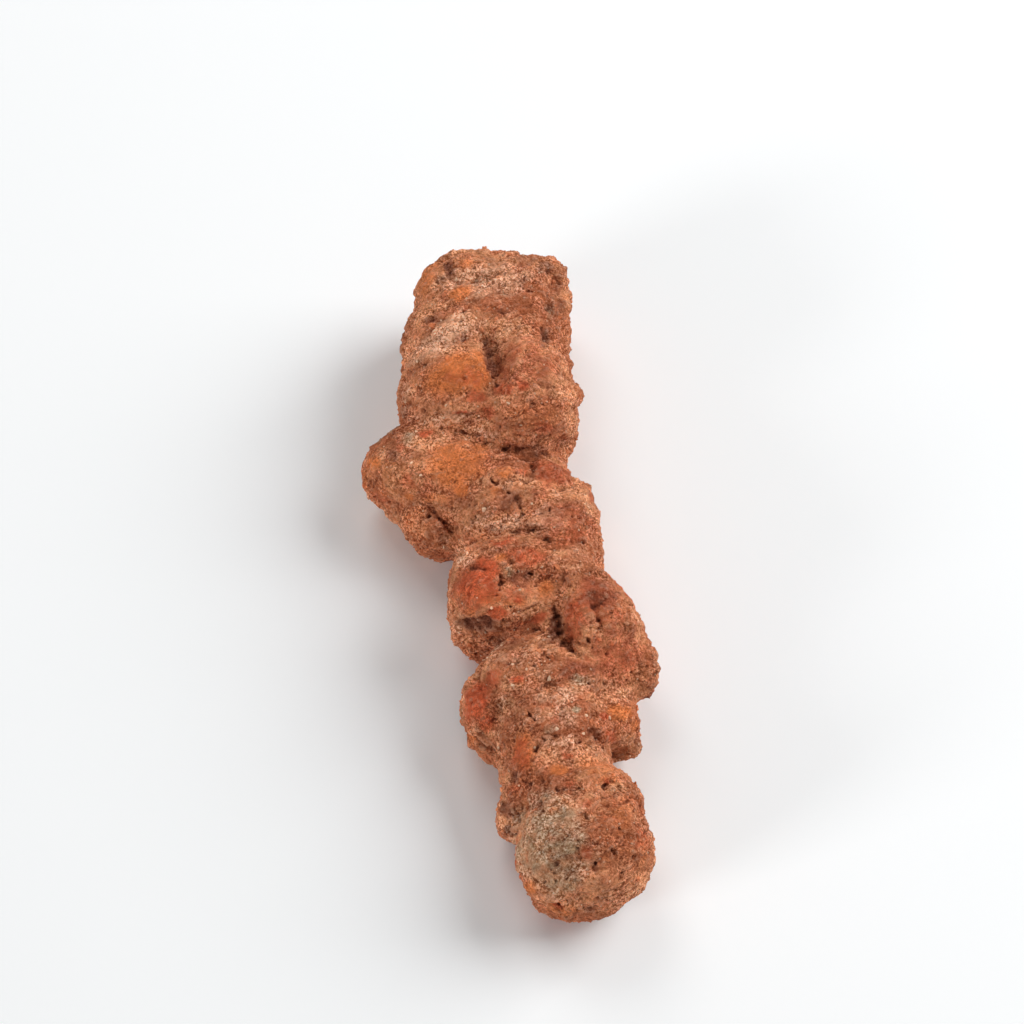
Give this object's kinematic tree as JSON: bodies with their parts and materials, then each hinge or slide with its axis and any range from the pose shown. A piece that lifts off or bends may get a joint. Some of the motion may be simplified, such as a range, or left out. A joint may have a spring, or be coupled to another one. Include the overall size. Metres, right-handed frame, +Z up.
{
  "type": "coprolite",
  "caption": "Fossil dropping: a crooked rope of rolls and lobes in rough red-brown stone, lying on its belly, with a blunt far end and a rounded near end.",
  "frame": {"origin": "middle of the box, on the surface that the stone rests on", "axes": "+Y along the rope from the rounded end to the blunt end, +X across it to the right when seen from above with the blunt end far away, +Z up"},
  "size_m": [0.0426, 0.122, 0.0245],
  "materials": {
    "red_stone": "rough"
  },
  "bodies": {
    "root": {"coprolite": "red_stone"}
  },
  "joints": []
}
